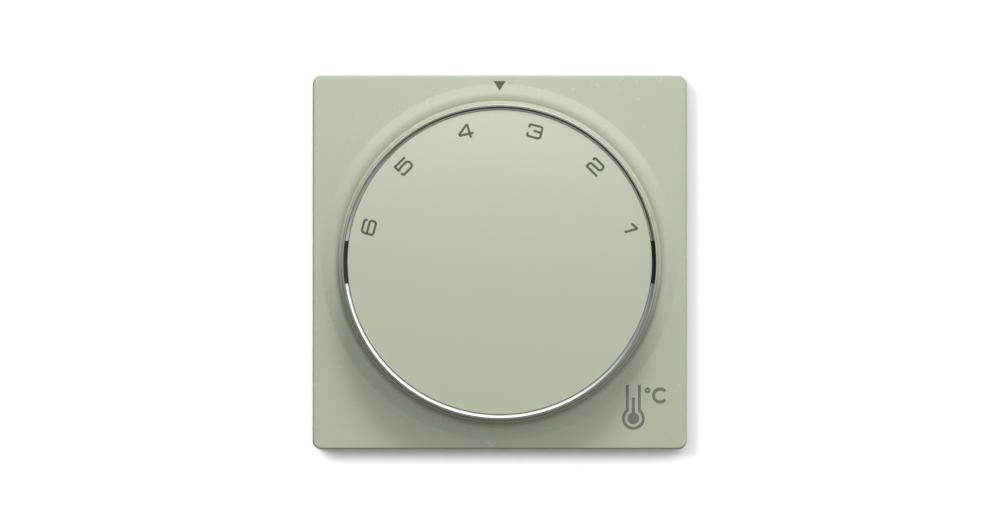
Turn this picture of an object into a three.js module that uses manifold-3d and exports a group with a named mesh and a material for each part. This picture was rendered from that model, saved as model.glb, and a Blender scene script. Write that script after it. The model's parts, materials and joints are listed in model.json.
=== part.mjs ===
// Flush-mounted room thermostat: a square cover plate with a round setting dial in front of the wall,
// and the insert with its bimetal switch behind it.
// Millimetres, +Z up. The front faces -Y, and y = 0 is the wall plane.
import * as THREE from "three";
import { mergeVertices } from "three/addons/utils/BufferGeometryUtils.js";
import Module from "manifold-3d";

const wasm = await Module();
wasm.setup();

// ---- Driving dimensions: cover plate ----
const PLATE_SIZE = 70; // width and height
const PLATE_DEPTH = 9; // wall plane to the plate's front
const PLATE_WALL = 1.8;
const PLATE_CORNER = 1.6;
const PLATE_EDGE = 0.35; // front edge chamfer
const PLATE_TO_WALL = 0.5; // the rim stops short of the wall
const BOSS_REACH = 3.1; // from the dial's lip out to the boss's foot
const BOSS_SLOPE = 2.3; // radial width of the boss's slope
const BOSS_RISE = 0.15;
const VENT_SLOTS = 5;
const VENT_WIDTH = 6;
const VENT_HEIGHT = 1.6;
const VENT_PITCH = 10;

// ---- Driving dimensions: dial ----
const DIAL_RADIUS = 30.2; // over the base lip
const DIAL_HEIGHT = 7.5; // base lip to rim
const DIAL_GAP = 0.3; // between the plate's boss and the dial
const LIP_WIDTH = 0.5;
const LIP_HEIGHT = 1;
const DIAL_DRAFT = 0.2;
const DIAL_WALL = 1.7;
const TRIM_WIDTH = 0.75;
const TRIM_DEPTH = 0.7; // the chrome's slope, from rim down to face
const TRIM_SECTION = 0.5;
const TRIM_GAP_ANGLE = 8; // half of the black stretch at 3 and 9 o'clock
const FACE_CROWN = 0.6;
const FACE_THICKNESS = 1.5;
const WEB = 1.5;
const DIAL_TRAVEL = 75; // either way from mid scale

// ---- Driving dimensions: shaft, hub and range rings ----
const SHAFT_RADIUS = 3;
const SHAFT_FLAT = 2.2; // flat to centre
const HUB_RADIUS = 5;
const CLIP_WALL = 0.6;
const COLLAR_BORE = 8;
const COLLAR_WALL = 2;
const COLLAR_HEIGHT = 2.3;
const RING_WIDTH = 3.6;
const RING_THICKNESS = 1.2;
const RING_LUG_ANGLE = 5; // half width of a ring's lug
const DIAL_LUG_ANGLE = 4;
const LUG_CLEARANCE_ANGLE = 1;

// ---- Driving dimensions: support plate and insert ----
const SUPPORT_THICKNESS = 1; // over its pads
const SUPPORT_CORNER = 3;
const SUPPORT_FREE = 0.4; // between its edge and the cover's walls
const PAD_RADIUS = 3.4; // of the four pressed pads that bear on the wall
const PAD_HEIGHT = 0.3;
const PAD_INSET = 6.3; // from the support plate's edges to a pad's centre
const BOX_SCREW_SPACING = 60;
const BOX_SLOT_WIDTH = 3.6;
const BOX_SLOT_ANGLE = 9; // half length of a slot
const INSERT_WIDTH = 50;
const INSERT_HEIGHT = 46;
const INSERT_RADIUS = 27.5; // goes into a 60 mm wall box
const INSERT_WALL = 1.6;
const CHAMBER_DEPTH = 10.5; // wall plane to the chamber floor
const FLOOR = 1.8;
const TERMINAL_DEPTH = 24;
const LID_WALL = 1.2;
const LID_GAP = 0.3; // between the lid and the back of the cover plate
const BUSH_RADIUS = 5.4;
const SCREW_RADIUS = 1.2;
const COVER_SCREW_LENGTH = 5.8;
const SCREW_HEAD_RADIUS = 2.3;
const POST_RADIUS = 2.5;
const SCREW_TO_CIRCLE = 3.9; // housing screw in from the insert's circle
const SCREW_PLACE = THREE.MathUtils.degToRad(43.3); // its angle above the level line

// ---- Driving dimensions: switch ----
const CAM_RADIUS = 8.5;
const CAM_THICKNESS = 1.15;
const FOLLOWER_RADIUS = 6.5;
const LEVER_THICKNESS = 1;
const LEVER_FRONT = 0.9; // in front of the wall plane
const LEVER_HALF_WIDTH = 6;
const LEVER_NECK_HALF_WIDTH = 3.5;
const LEVER_TRAVEL = 0.7; // of its contact, either way
const PIN_RADIUS = 1;
const PIN_DROP = 18; // shaft's axis down to the lever's pin
const STRIP_THICKNESS = 0.6;
const STRIP_WIDTH = 5;
const STRIP_LENGTH = 30;
const STRIP_TO_CAM = 2;
const STRIP_TO_LID = 1.1; // room to bend forwards
const CONTACT_RADIUS = 1.3;
const CONTACT_HEIGHT = 0.8;
const CONTACT_GAP = 1.42; // with the dial at mid scale
const CONTACT_SHANK = 0.6;
const STRIP_SLACK = 0.15; // between the strip and its clamp
const POST_SIZE = 5;
const POST_TO_CIRCLE = 9.8; // strip's clamp in from the insert's circle
const RESISTOR_RADIUS = 1.5;
const RESISTOR_LENGTH = 6;
const RESISTOR_X = -11.5;
const LEAD_RADIUS = 0.3;
const SPRING_RADIUS = 1.7;
const SPRING_LENGTH = 5.4;
const SPRING_TURNS = 4.5;
const SPRING_WIRE = 0.3;
const SPRING_TO_FOLLOWER = 4;
const BRAID_RADIUS = 0.35;
const MAGNET_WIDTH = 4;
const MAGNET_HEIGHT = 3.6;
const MAGNET_CLEARANCE = 1.4;
const BUSBAR_WIDTH = 2.4;
const BUSBAR_THICKNESS = 0.8;
const BUSBAR_TAB = 0.8; // thickness of the tab through the chamber's floor
const BRAID_END_X = 11.2; // where the braid meets the load busbar
const BRAID_END_Z = -3;
const TERMINALS = 4;
const TERMINAL_PITCH = 8.6;
const TERMINAL_DROP = 13; // shaft's axis down to the row of terminals
const CLAMP_WIDTH = 6.2;
const CLAMP_HEIGHT = 8;
const CLAMP_DEPTH = 6;
const WIRE_RADIUS = 1.7;

// ---- Clearances ----
const RUNNING = 0.1; // radial, round a turning shaft or pin
const SEAT = 0.05; // between pieces that are pressed or screwed together
const FREE = 0.3; // between pieces that only pass each other

// ---- Levels along Y (negative is in front of the wall) ----
const plateFront = -PLATE_DEPTH;
const plateBack = plateFront + PLATE_WALL;
const bossFront = plateFront - BOSS_RISE;
const dialBack = bossFront - DIAL_GAP;
const rimFront = dialBack - DIAL_HEIGHT;
const faceEdge = rimFront + TRIM_DEPTH;
const webFront = faceEdge + FACE_THICKNESS;
const webBack = webFront + WEB;
const ringFront = bossFront - SEAT - RING_THICKNESS;
const lidFront = plateBack + LID_GAP;
const lidInside = lidFront + LID_WALL;
const stripFront = lidInside + STRIP_TO_LID;
const stripBack = stripFront + STRIP_THICKNESS;
const leverFront = -LEVER_FRONT;
const leverBack = leverFront + LEVER_THICKNESS;
const leverContactFront = stripBack + CONTACT_HEIGHT + CONTACT_GAP;
const clipFront = lidInside + 0.8;
const camFront = clipFront + 0.7;
const camBack = camFront + CAM_THICKNESS;
const supportFront = -SUPPORT_THICKNESS;
const supportBack = -PAD_HEIGHT;
const springSeat = leverBack + SPRING_LENGTH;
const busbarFront = CHAMBER_DEPTH - BUSBAR_THICKNESS;
const insertBack = CHAMBER_DEPTH + FLOOR;
const clampFront = insertBack + 2.6;

// ---- Places across the front ----
const lipRadius = DIAL_RADIUS;
const wallRadius = DIAL_RADIUS - LIP_WIDTH;
const rimRadius = wallRadius - DIAL_DRAFT;
const trimOuter = rimRadius - 0.25;
const trimInner = trimOuter - TRIM_WIDTH;
const faceRadius = trimInner - 0.15;
const carrierOuter = trimOuter - 0.35;
const faceStep = faceRadius - 1.3;
const collarOuter = COLLAR_BORE + COLLAR_WALL;
const minRingInner = collarOuter + FREE;
const minRingOuter = minRingInner + RING_WIDTH;
const maxRingInner = minRingOuter + FREE;
const maxRingOuter = maxRingInner + RING_WIDTH;
const coverScrewZ = maxRingOuter + FREE + SCREW_HEAD_RADIUS;
const bossRadius = DIAL_RADIUS + BOSS_REACH;
const pinZ = -PIN_DROP;
const pinY = (leverFront + leverBack) / 2;
const stripZ = CAM_RADIUS + STRIP_TO_CAM + STRIP_WIDTH / 2;
const postX = POST_TO_CIRCLE - INSERT_RADIUS;
const stripStart = postX - POST_SIZE / 2;
const stripEnd = stripStart + STRIP_LENGTH;
const magnetX = stripEnd - MAGNET_WIDTH / 2;
const magnetFront = stripBack + MAGNET_CLEARANCE;
const screwX = (INSERT_RADIUS - SCREW_TO_CIRCLE) * Math.cos(SCREW_PLACE);
const screwZ = (INSERT_RADIUS - SCREW_TO_CIRCLE) * Math.sin(SCREW_PLACE);
const clampZ = -TERMINAL_DROP;
const springZ = -(FOLLOWER_RADIUS + SPRING_TO_FOLLOWER);
const resistorZ = stripZ + STRIP_WIDTH / 2 + RESISTOR_RADIUS + 2;
const stopAngle = DIAL_TRAVEL + RING_LUG_ANGLE + DIAL_LUG_ANGLE + LUG_CLEARANCE_ANGLE;

const ROUND = 64; // facets of the large rounds
const SMALL_ROUND = 16;
const radians = THREE.MathUtils.degToRad;

// ---- Shape helpers ----
function toSolid(geometry) {
  const bare = geometry.clone();
  bare.deleteAttribute("normal");
  bare.deleteAttribute("uv");
  const merged = mergeVertices(bare, 1e-4);
  return new wasm.Manifold(
    new wasm.Mesh({
      numProp: 3,
      vertProperties: merged.attributes.position.array,
      triVerts: new Uint32Array(merged.index.array),
    }),
  );
}

function toGeometry(solid) {
  const mesh = solid.getMesh();
  const geometry = new THREE.BufferGeometry();
  geometry.setAttribute("position", new THREE.BufferAttribute(mesh.vertProperties, 3));
  geometry.setIndex(new THREE.BufferAttribute(mesh.triVerts, 1));
  geometry.computeVertexNormals();
  return geometry;
}

function join(...geometries) {
  return toGeometry(geometries.map(toSolid).reduce((all, next) => all.add(next)));
}

function cut(base, ...tools) {
  return toGeometry(tools.map(toSolid).reduce((left, tool) => left.subtract(tool), toSolid(base)));
}

function common(a, b) {
  return toGeometry(toSolid(a).intersect(toSolid(b)));
}

// A box between two corners.
function box(x0, x1, y0, y1, z0, z1) {
  const geometry = new THREE.BoxGeometry(x1 - x0, y1 - y0, z1 - z0);
  return geometry.translate((x0 + x1) / 2, (y0 + y1) / 2, (z0 + z1) / 2);
}

// A shape drawn as (x, z), extruded from yFront to yBack.
function prism(shape, yFront, yBack, curveSegments = 8) {
  const options = { depth: yBack - yFront, bevelEnabled: false, curveSegments };
  return new THREE.ExtrudeGeometry(shape, options).rotateX(Math.PI / 2).translate(0, yBack, 0);
}

// A body of revolution about Y. The profile runs anticlockwise as (radius, y).
function turned(profile, segments = ROUND) {
  const points = profile.map(([r, y]) => new THREE.Vector2(r, y));
  const closesOnAxis = profile[0][0] === 0 && profile.at(-1)[0] === 0;
  if (!closesOnAxis) points.push(points[0].clone());
  return new THREE.LatheGeometry(points, segments);
}

function disc(radius, yFront, yBack, x = 0, z = 0, segments = SMALL_ROUND) {
  const geometry = new THREE.CylinderGeometry(radius, radius, yBack - yFront, segments);
  return geometry.translate(x, (yFront + yBack) / 2, z);
}

function rod(radius, x0, x1, y, z) {
  const geometry = new THREE.CylinderGeometry(radius, radius, x1 - x0, SMALL_ROUND);
  return geometry.rotateZ(Math.PI / 2).translate((x0 + x1) / 2, y, z);
}

function ring(inner, outer, yFront, yBack, segments = ROUND) {
  return turned([[inner, yFront], [outer, yFront], [outer, yBack], [inner, yBack]], segments);
}

function roundedSquare(size, corner) {
  const half = size / 2;
  const shape = new THREE.Shape();
  shape.absarc(half - corner, half - corner, corner, 0, Math.PI / 2);
  shape.absarc(corner - half, half - corner, corner, Math.PI / 2, Math.PI);
  shape.absarc(corner - half, corner - half, corner, Math.PI, 1.5 * Math.PI);
  shape.absarc(half - corner, corner - half, corner, 1.5 * Math.PI, 2 * Math.PI);
  return shape;
}

// A wedge about the axis. Angles are clockwise from the top, as seen from the front.
function sector(middle, half, radius, yFront, yBack) {
  const start = radians(90 - middle - half);
  const shape = new THREE.Shape();
  shape.moveTo(0, 0);
  shape.lineTo(radius * Math.cos(start), radius * Math.sin(start));
  shape.absarc(0, 0, radius, start, radians(90 - middle + half));
  return prism(shape, yFront, yBack, 8);
}

// The insert's outline: a rectangle inside the wall box's circle.
function insertOutline(inset, yFront, yBack) {
  const x = INSERT_WIDTH / 2 - inset;
  const z = INSERT_HEIGHT / 2 - inset;
  return common(box(-x, x, yFront, yBack, -z, z), disc(INSERT_RADIUS - inset, yFront, yBack, 0, 0, ROUND));
}

// A round section with one flat on its top.
function flatted(radius, flat, yFront, yBack) {
  return cut(
    disc(radius, yFront, yBack),
    box(-radius - 1, radius + 1, yFront - 1, yBack + 1, flat, radius + 1),
  );
}

// A slotted cheese-head screw along Y, its head at yHead, pointing to +Y (way 1) or -Y (way -1).
function screw(x, z, yHead, headHeight, length, headRadius, shankRadius, way = 1) {
  const yNeck = yHead + way * headHeight;
  const yTip = yHead + way * length;
  const head = disc(headRadius, Math.min(yHead, yNeck), Math.max(yHead, yNeck), x, z);
  const shank = disc(shankRadius, Math.min(yHead, yTip), Math.max(yHead, yTip), x, z);
  const slotDepth = headHeight / 2;
  const slotEnd = yHead + way * slotDepth;
  const slotStart = yHead - way;
  const slot = box(
    x - headRadius - 1,
    x + headRadius + 1,
    Math.min(slotStart, slotEnd),
    Math.max(slotStart, slotEnd),
    z - headRadius / 6,
    z + headRadius / 6,
  );
  return cut(join(head, shank), slot);
}

// ---- Cover plate ----
function coverPlate() {
  const rimBack = -PLATE_TO_WALL;
  const depth = rimBack - plateFront;
  const outline = roundedSquare(PLATE_SIZE - 2 * PLATE_EDGE, PLATE_CORNER - PLATE_EDGE);
  const block = new THREE.ExtrudeGeometry(outline, {
    depth: depth + 1,
    curveSegments: 6,
    bevelEnabled: true,
    bevelThickness: PLATE_EDGE,
    bevelSize: PLATE_EDGE,
    bevelSegments: 2,
  })
    .rotateX(Math.PI / 2)
    .translate(0, plateFront + PLATE_EDGE + depth + 1, 0);
  const half = PLATE_SIZE / 2;
  const behind = box(-half - 1, half + 1, rimBack, rimBack + 4, -half - 1, half + 1);
  const inside = half - PLATE_WALL;
  const cavity = box(-inside, inside, plateBack, rimBack + 1, -inside, inside);
  const mound = turned([
    [0, bossFront],
    [bossRadius - BOSS_SLOPE, bossFront],
    [bossRadius, plateFront],
    [bossRadius, plateFront + 0.5],
    [0, plateFront + 0.5],
  ]);
  const boss = common(mound, box(-half, half, bossFront - 1, 0, -half, half));
  const collar = disc(collarOuter, bossFront - COLLAR_HEIGHT, plateFront + 0.5, 0, 0, ROUND);
  const opening = disc(COLLAR_BORE, bossFront - COLLAR_HEIGHT - 1, 0, 0, 0, ROUND);
  const screwHole = disc(SCREW_RADIUS + FREE, bossFront - 1, 0, 0, coverScrewZ);
  const headSeat = disc(SCREW_HEAD_RADIUS + RUNNING, bossFront - 1, bossFront + 1.3, 0, coverScrewZ);
  const vents = [];
  for (let i = 0; i < VENT_SLOTS; i += 1) {
    const x = (i - (VENT_SLOTS - 1) / 2) * VENT_PITCH;
    vents.push(
      box(x - VENT_WIDTH / 2, x + VENT_WIDTH / 2, rimBack - VENT_HEIGHT, rimBack + 1, -half - 1, half + 1),
    );
  }
  return cut(join(block, boss, collar), behind, cavity, opening, screwHole, headSeat, ...vents);
}

function coverScrew() {
  return screw(0, coverScrewZ, bossFront + 0.1, 1.2, COVER_SCREW_LENGTH, SCREW_HEAD_RADIUS, SCREW_RADIUS);
}

// ---- Dial ----
// The dial's cup: lip, side wall, web, and the stop lug that meets the range rings.
function dialBody() {
  const innerRadius = wallRadius - DIAL_WALL;
  const cup = turned([
    [0, webFront],
    [carrierOuter + SEAT, webFront],
    [carrierOuter + SEAT, faceEdge + TRIM_SECTION - 0.25],
    [trimOuter + SEAT, rimFront + TRIM_SECTION + SEAT],
    [trimOuter + SEAT, rimFront + 0.12],
    [rimRadius - 0.08, rimFront],
    [rimRadius, rimFront + 0.15],
    [wallRadius, dialBack - LIP_HEIGHT],
    [lipRadius - 0.15, dialBack - LIP_HEIGHT + 0.05],
    [lipRadius, dialBack - LIP_HEIGHT + 0.25],
    [lipRadius, dialBack - 0.1],
    [lipRadius - 0.1, dialBack],
    [innerRadius, dialBack],
    [innerRadius, webBack],
    [0, webBack],
  ]);
  const hub = disc(HUB_RADIUS, webBack - 0.2, bossFront + 0.5, 0, 0, SMALL_ROUND);
  const bore = flatted(SHAFT_RADIUS + SEAT, SHAFT_FLAT + SEAT, webBack, bossFront + 1);
  const saw = box(-0.5, 0.5, webBack + 1, bossFront + 1, -HUB_RADIUS - 1, 0);
  const band = ring(minRingInner + 0.6, maxRingOuter - 0.6, webBack - 0.2, ringFront - FREE);
  const lug = common(band, sector(180, DIAL_LUG_ANGLE, DIAL_RADIUS, webBack - 1, ringFront));
  return cut(join(cup, hub, lug), bore, saw);
}

// Cross-section of the bright trim, lowered by a clearance where another piece lies behind it.
const trimProfile = [
  [trimInner, faceEdge + 0.02],
  [trimOuter, rimFront + 0.05],
  [trimOuter, rimFront + TRIM_SECTION],
  [trimInner, faceEdge + TRIM_SECTION - 0.05],
];

function trimArc(middle) {
  const half = 90 - TRIM_GAP_ANGLE;
  return common(turned(trimProfile, ROUND), sector(middle, half, DIAL_RADIUS + 5, rimFront - 1, webFront));
}

function trimCarrier() {
  const top = faceEdge + TRIM_SECTION;
  const body = turned([
    [faceStep + 0.1, webFront - SEAT - 0.6],
    [trimInner - 0.05, webFront - SEAT - 0.6],
    [trimInner - 0.05, top],
    [carrierOuter, top - 0.25],
    [carrierOuter, webFront - SEAT],
    [faceStep + 0.1, webFront - SEAT],
  ], ROUND);
  const bridge = turned([
    ...trimProfile.slice(0, 3),
    [carrierOuter, top - 0.25],
    [carrierOuter, top],
    [trimInner, top + 0.1],
  ], ROUND);
  const half = TRIM_GAP_ANGLE - 0.2;
  const right = common(bridge, sector(90, half, DIAL_RADIUS + 5, rimFront - 1, webFront));
  const left = common(bridge, sector(270, half, DIAL_RADIUS + 5, rimFront - 1, webFront));
  return join(body, right, left);
}

function dialFace() {
  const crown = [];
  const steps = 4;
  for (let i = 0; i <= steps; i += 1) {
    const share = i / steps;
    crown.push([share * (faceRadius - 0.15), faceEdge - FACE_CROWN * (1 - share * share)]);
  }
  return turned([
    ...crown,
    [faceRadius, faceEdge + 0.15],
    [faceRadius, webFront - SEAT - 0.7],
    [faceStep, webFront - SEAT - 0.7],
    [faceStep, webFront],
    [0, webFront],
  ]);
}

function hubClip() {
  const inner = HUB_RADIUS + SEAT;
  const band = ring(inner, inner + CLIP_WALL, webBack + 1, webBack + 2.6, SMALL_ROUND);
  return cut(band, box(-0.6, 0.6, webBack, webBack + 4, -inner - CLIP_WALL - 1, 0));
}

function rangeRing(inner, outer, lugAngle) {
  const ringBack = bossFront - SEAT;
  const band = ring(inner, outer, ringFront, ringBack);
  const lugBand = ring(inner + 0.3, outer - 0.3, webBack + 0.4, ringBack - 0.3);
  const lug = common(lugBand, sector(lugAngle, RING_LUG_ANGLE, DIAL_RADIUS, webBack, ringBack));
  return join(band, lug);
}

// ---- Shaft and cam ----
function settingShaft() {
  const tip = webBack + 0.2;
  const tail = CHAMBER_DEPTH - FLOOR;
  const bar = turned([
    [0, tip],
    [SHAFT_RADIUS - 0.4, tip],
    [SHAFT_RADIUS, tip + 0.4],
    [SHAFT_RADIUS, clipFront - SEAT],
    [SHAFT_RADIUS - 0.5, clipFront - SEAT],
    [SHAFT_RADIUS - 0.5, clipFront + 0.6],
    [SHAFT_RADIUS, clipFront + 0.6],
    [SHAFT_RADIUS, tail],
    [0, tail],
  ], SMALL_ROUND);
  const wide = SHAFT_RADIUS + 1;
  const hubFlat = box(-wide, wide, tip - 1, bossFront + 0.6, SHAFT_FLAT, wide);
  const camFlat = box(-wide, wide, camFront - 0.1, camBack + 0.6, SHAFT_FLAT, wide);
  return cut(bar, hubFlat, camFlat);
}

function shaftCirclip() {
  const inner = SHAFT_RADIUS - 0.5 + SEAT;
  const band = ring(inner, SHAFT_RADIUS + 1.6, clipFront, clipFront + 0.5, SMALL_ROUND);
  return cut(band, box(-1.6, 1.6, clipFront - 1, clipFront + 1, -SHAFT_RADIUS - 3, 0));
}

// A face cam: its back rises in proportion to the angle over the half that the follower meets.
function camRise(angle) {
  const followerTravel = (LEVER_TRAVEL * (-FOLLOWER_RADIUS - pinZ)) / (stripZ - pinZ);
  const perDegree = followerTravel / DIAL_TRAVEL;
  const turn = (angle + 360) % 360;
  const fromMiddle = turn < 90 ? -turn : turn > 270 ? 360 - turn : turn - 180;
  return perDegree * fromMiddle;
}

function setCam() {
  const wheel = ring(SHAFT_RADIUS + 1.5, CAM_RADIUS, camFront, camBack, 32);
  const place = wheel.attributes.position;
  for (let i = 0; i < place.count; i += 1) {
    const angle = THREE.MathUtils.radToDeg(Math.atan2(place.getX(i), place.getZ(i)));
    if (place.getY(i) > camBack - 0.01) place.setY(i, camBack + camRise(angle));
  }
  const core = ring(SHAFT_RADIUS - 1, SHAFT_RADIUS + 2, camFront, camBack - 0.4, 32);
  const bore = flatted(SHAFT_RADIUS + SEAT, SHAFT_FLAT + SEAT, camFront - 1, camBack + 2);
  return cut(join(wheel, core), bore);
}

// ---- Set lever ----
function setLever() {
  const top = stripZ + CONTACT_RADIUS + 1.8;
  const shape = new THREE.Shape();
  const shoulder = CAM_RADIUS - 0.5;
  shape.moveTo(-LEVER_HALF_WIDTH, pinZ);
  shape.lineTo(LEVER_HALF_WIDTH, pinZ);
  shape.lineTo(LEVER_HALF_WIDTH, SHAFT_RADIUS + 2);
  shape.lineTo(LEVER_NECK_HALF_WIDTH, shoulder);
  shape.lineTo(LEVER_NECK_HALF_WIDTH, top);
  shape.lineTo(-LEVER_NECK_HALF_WIDTH, top);
  shape.lineTo(-LEVER_NECK_HALF_WIDTH, shoulder);
  shape.lineTo(-LEVER_HALF_WIDTH, SHAFT_RADIUS + 2);
  const plate = prism(shape, leverFront, leverBack);
  const knuckle = rod(PIN_RADIUS + 1, -LEVER_HALF_WIDTH, LEVER_HALF_WIDTH, pinY, pinZ);
  const pinHole = rod(PIN_RADIUS + RUNNING, -LEVER_HALF_WIDTH - 1, LEVER_HALF_WIDTH + 1, pinY, pinZ);
  const shaftHole = disc(SHAFT_RADIUS + 1, leverFront - 1, leverBack + 1);
  const screwHole = disc(SCREW_RADIUS, leverFront - 1, leverBack + 1, 0, -FOLLOWER_RADIUS);
  const contactHole = disc(CONTACT_SHANK + SEAT, leverFront - 1, leverBack + 1, 0, stripZ);
  return cut(join(plate, knuckle), pinHole, shaftHole, screwHole, contactHole);
}

function leverPin() {
  const reach = LEVER_HALF_WIDTH + FREE + 2.8;
  return rod(PIN_RADIUS, -reach, reach, pinY, pinZ);
}

// The adjusting screw whose rounded tip follows the cam.
function calibrationScrew() {
  const radius = SCREW_RADIUS - SEAT;
  const tip = camBack + 0.25;
  const body = turned([
    [0, tip],
    [radius - 0.5, tip + 0.1],
    [radius, tip + 0.5],
    [radius, leverBack + 1],
    [0, leverBack + 1],
  ], SMALL_ROUND).translate(0, 0, -FOLLOWER_RADIUS);
  const z = -FOLLOWER_RADIUS;
  return cut(body, box(-2, 2, leverBack + 0.5, leverBack + 2, z - 0.2, z + 0.2));
}

// A compression spring that holds the lever against the cam.
class Helix extends THREE.Curve {
  constructor(radius, turns, yFront, yBack, z) {
    super();
    Object.assign(this, { radius, turns, yFront, yBack, z });
  }

  getPoint(t, target = new THREE.Vector3()) {
    const angle = 2 * Math.PI * this.turns * t;
    const y = this.yFront + (this.yBack - this.yFront) * t;
    return target.set(this.radius * Math.cos(angle), y, this.z + this.radius * Math.sin(angle));
  }
}

function wire(path, radius, steps, sides = 8) {
  const section = new THREE.Shape();
  section.absarc(0, 0, radius, 0, 2 * Math.PI);
  return new THREE.ExtrudeGeometry(section, { extrudePath: path, steps, curveSegments: sides / 2 });
}

function leverSpring() {
  const front = leverBack + SPRING_WIRE + 0.4;
  const back = springSeat - SPRING_WIRE - SEAT;
  return wire(new Helix(SPRING_RADIUS, SPRING_TURNS, front, back, springZ), SPRING_WIRE, 45, 6);
}

// A rivet whose head is the contact face and whose shank fills a hole behind it.
function rivet(x, z, headFront, headBack, shankFront, shankBack) {
  const head = disc(CONTACT_RADIUS, headFront, headBack, x, z);
  return join(head, disc(CONTACT_SHANK, shankFront, shankBack, x, z));
}

function leverContact() {
  return rivet(0, stripZ, leverContactFront, leverFront, leverFront - 0.1, leverBack + 0.2);
}

function bimetalContact() {
  return rivet(0, stripZ, stripBack, stripBack + CONTACT_HEIGHT, stripFront - 0.15, stripBack + 0.1);
}

function leverBraid() {
  const start = new THREE.Vector3(LEVER_HALF_WIDTH - 1.2, leverBack + BRAID_RADIUS + 0.15, -1);
  const end = new THREE.Vector3(BRAID_END_X, busbarFront - BRAID_RADIUS, BRAID_END_Z);
  const path = new THREE.CatmullRomCurve3([
    start,
    new THREE.Vector3(start.x + 0.6, start.y + 3, -1.6),
    new THREE.Vector3((start.x + end.x) / 2 + 0.8, (start.y + end.y) / 2, -4),
    new THREE.Vector3(end.x - 0.8, end.y - 2.6, -3.4),
    end,
  ]);
  return wire(path, BRAID_RADIUS, 12, 6);
}

// ---- Bimetal strip ----
function bimetalStrip() {
  const half = STRIP_WIDTH / 2;
  const strip = box(stripStart, stripEnd, stripFront, stripBack, stripZ - half, stripZ + half);
  const screwHole = disc(SCREW_RADIUS + FREE, stripFront - 1, stripBack + 1, postX, stripZ);
  const contactHole = disc(CONTACT_SHANK + SEAT, stripFront - 1, stripBack + 1, 0, stripZ);
  return cut(strip, screwHole, contactHole);
}

function bimetalPost() {
  const half = POST_SIZE / 2;
  const front = stripBack + STRIP_SLACK;
  const post = box(postX - half, postX + half, front, CHAMBER_DEPTH, stripZ - half, stripZ + half);
  return cut(post, disc(SCREW_RADIUS + SEAT, stripBack - 1, 3, postX, stripZ));
}

function stripScrew() {
  return screw(postX, stripZ, stripFront - STRIP_SLACK - 0.6, 0.6, 5, 2, SCREW_RADIUS);
}

function magnetBlock() {
  const half = MAGNET_WIDTH / 2;
  const back = magnetFront + MAGNET_HEIGHT;
  return box(magnetX - half, magnetX + half, magnetFront, back, stripZ - half, stripZ + half);
}

function acceleratorResistor() {
  const x = RESISTOR_X;
  const z = resistorZ;
  const y = -RESISTOR_RADIUS;
  const half = RESISTOR_LENGTH / 2;
  const body = rod(RESISTOR_RADIUS, x - half, x + half, y, z);
  const leads = rod(LEAD_RADIUS, x - half - 1.6, x + half + 1.2, y, z);
  const left = disc(LEAD_RADIUS, y - 0.2, CHAMBER_DEPTH, x - half - 1.4, z, 12);
  const right = disc(LEAD_RADIUS, y - 0.2, busbarFront, x + half + 1, z, 12);
  return join(body, leads, left, right);
}

// ---- Support plate and insert shells ----
// The sheet that hangs on the wall box. Four corner pads are pressed out of it to bear on the wall.
function supportPlate() {
  const size = PLATE_SIZE - 2 * (PLATE_WALL + SUPPORT_FREE);
  const sheet = prism(roundedSquare(size, SUPPORT_CORNER), supportFront, supportBack, 6);
  const window = insertOutline(INSERT_WALL, supportFront - 1, 1);
  const padPlace = size / 2 - PAD_INSET;
  const corners = [[-1, -1], [-1, 1], [1, -1], [1, 1]].map(([x, z]) => [x * padPlace, z * padPlace]);
  const pads = corners.map(([x, z]) => disc(PAD_RADIUS, supportFront + PAD_HEIGHT, 0, x, z));
  const dimples = corners.map(([x, z]) =>
    disc(PAD_RADIUS - PAD_HEIGHT, supportFront - 1, supportFront + PAD_HEIGHT, x, z),
  );
  const slots = [0, 90, 180, 270].map((middle) => {
    const reach = BOX_SCREW_SPACING / 2;
    const half = BOX_SLOT_WIDTH / 2;
    const band = ring(reach - half, reach + half, supportFront - 1, 1);
    return common(band, sector(middle, BOX_SLOT_ANGLE, PLATE_SIZE, supportFront - 1, 1));
  });
  return cut(join(sheet, ...pads), window, ...slots, ...dimples);
}

function screwPosts(yFront, yBack) {
  return [-1, 1].map((side) => disc(POST_RADIUS, yFront, yBack, side * screwX, side * screwZ));
}

function insertLid() {
  const back = supportFront;
  const shell = cut(insertOutline(0, lidFront, back), insertOutline(INSERT_WALL, lidInside, back + 1));
  const bush = disc(BUSH_RADIUS, bossFront + 1.1, lidInside + 0.6, 0, 0, SMALL_ROUND);
  const coverPost = common(
    disc(SCREW_HEAD_RADIUS + 0.1, lidInside - 0.2, lidInside + 3.2, 0, coverScrewZ),
    insertOutline(0, lidFront, back),
  );
  const bore = disc(SHAFT_RADIUS + RUNNING, bossFront, lidInside + 2);
  const coverHole = disc(SCREW_RADIUS + SEAT, lidFront - 1, lidInside + 2.6, 0, coverScrewZ);
  const holes = [-1, 1].flatMap((side) => [
    disc(SCREW_RADIUS + RUNNING, lidFront - 1, back + 1, side * screwX, side * screwZ),
    disc(SCREW_HEAD_RADIUS + RUNNING, lidFront - 1, lidFront + 1, side * screwX, side * screwZ),
  ]);
  const vents = [];
  const ventStart = stripStart + POST_SIZE + 3;
  for (let x = ventStart; x < stripEnd; x += 3.6) {
    vents.push(box(x - 0.8, x + 0.8, lidFront - 1, lidInside + 1, stripZ - 3.4, stripZ + 3.4));
  }
  const posts = screwPosts(lidInside - 0.2, back);
  return cut(join(shell, bush, coverPost, ...posts), bore, coverHole, ...holes, ...vents);
}

function terminalX(index) {
  return (index - (TERMINALS - 1) / 2) * TERMINAL_PITCH;
}

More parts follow.
